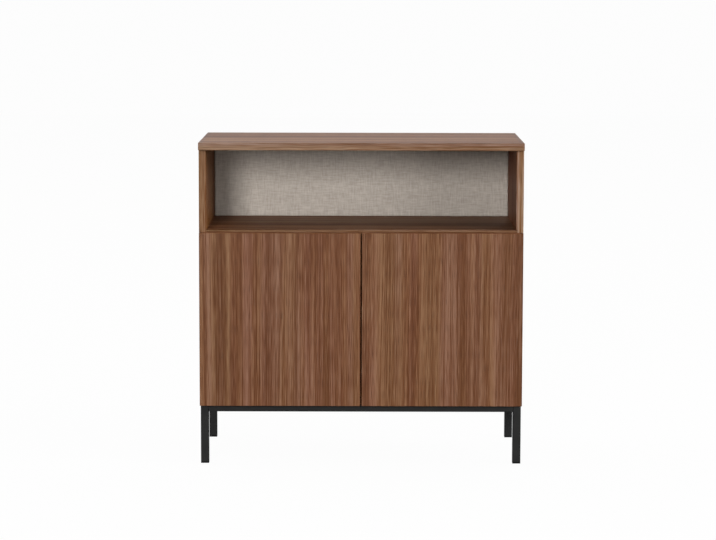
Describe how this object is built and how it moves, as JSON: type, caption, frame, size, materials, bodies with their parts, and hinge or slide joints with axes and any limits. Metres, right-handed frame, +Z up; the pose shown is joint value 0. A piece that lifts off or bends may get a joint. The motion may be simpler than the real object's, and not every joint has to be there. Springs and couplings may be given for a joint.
{
  "type": "sideboard",
  "caption": "Walnut sideboard with an open linen-backed niche above flat handleless doors, on a black square tube frame.",
  "frame": {"origin": "on the floor, under the middle of the cabinet", "axes": "+Z up, the doors face -Y, +X to the right as seen from the front"},
  "size_m": [0.8, 0.4, 0.8],
  "materials": {
    "walnut": "walnut veneer, satin lacquer",
    "back_board": "veneered thin board",
    "linen": "plain-woven beige linen bonded to the board",
    "black_steel": "fine-textured black powder coat",
    "black_plastic": "moulded, matte",
    "grey_plastic": "moulded, matte",
    "beech": "turned, unfinished",
    "zinc": "zinc plated",
    "nickel": "nickel plated"
  },
  "bodies": {
    "carcass": {"board_dowels": "beech", "bottom_panel": "walnut", "cam_bolts": "zinc", "cam_locks": "zinc", "cupboard_back_board": "back_board", "frame_screws": "zinc", "frame_tabs": "black_steel", "front_left_glide": "black_plastic", "front_left_leg": "black_steel", "front_rail": "black_steel", "front_right_glide": "black_plastic", "front_right_leg": "black_steel", "hinge_arm_screws": "zinc", "hinge_plate_screws": "zinc", "latch_screws": "zinc", "left_latch_housing": "grey_plastic", "left_lower_hinge_arm": "nickel", "left_lower_hinge_plate": "nickel", "left_rail": "black_steel", "left_side_panel": "walnut", "left_upper_hinge_arm": "nickel", "left_upper_hinge_plate": "nickel", "niche_back_board": "back_board", "niche_back_linen": "linen", "niche_shelf": "walnut", "rear_left_glide": "black_plastic", "rear_left_leg": "black_steel", "rear_rail": "black_steel", "rear_right_glide": "black_plastic", "rear_right_leg": "black_steel", "right_latch_housing": "grey_plastic", "right_lower_hinge_arm": "nickel", "right_lower_hinge_plate": "nickel", "right_rail": "black_steel", "right_side_panel": "walnut", "right_upper_hinge_arm": "nickel", "right_upper_hinge_plate": "nickel", "shelf_pins": "zinc", "top_panel": "walnut"},
    "left_door": {"left_cup_screws": "zinc", "left_door": "walnut", "left_lower_hinge_cup": "nickel", "left_lower_hinge_pin": "nickel", "left_strike_plate": "zinc", "left_upper_hinge_cup": "nickel", "left_upper_hinge_pin": "nickel"},
    "right_door": {"right_cup_screws": "zinc", "right_door": "walnut", "right_lower_hinge_cup": "nickel", "right_lower_hinge_pin": "nickel", "right_strike_plate": "zinc", "right_upper_hinge_cup": "nickel", "right_upper_hinge_pin": "nickel"},
    "left_latch_plunger": {"left_latch_plunger": "grey_plastic"},
    "right_latch_plunger": {"right_latch_plunger": "grey_plastic"},
    "adjustable_shelf": {"adjustable_shelf": "walnut"}
  },
  "joints": [
    {"name": "left_door_hinge", "type": "hinge", "parent": "carcass", "child": "left_door", "pos_m": [-0.3915, -0.1915, 0.36325], "axis": [0, 0, -1], "range_deg": [0, 95]},
    {"name": "right_door_hinge", "type": "hinge", "parent": "carcass", "child": "right_door", "pos_m": [0.3915, -0.1915, 0.36325], "axis": [0, 0, 1], "range_deg": [0, 95]},
    {"name": "left_latch_slide", "type": "slide", "parent": "carcass", "child": "left_latch_plunger", "axis": [0, -1, 0], "range_m": [0, 0.014]},
    {"name": "right_latch_slide", "type": "slide", "parent": "carcass", "child": "right_latch_plunger", "axis": [0, -1, 0], "range_m": [0, 0.014]},
    {"name": "shelf_lift", "type": "slide", "parent": "carcass", "child": "adjustable_shelf", "axis": [0, 0, 1], "range_m": [0, 0.03]}
  ],
  "couplings": [
    {"joint": "left_latch_slide", "follows": "left_door_hinge", "m_per_rad": 0.0084},
    {"joint": "right_latch_slide", "follows": "right_door_hinge", "m_per_rad": 0.0084}
  ]
}
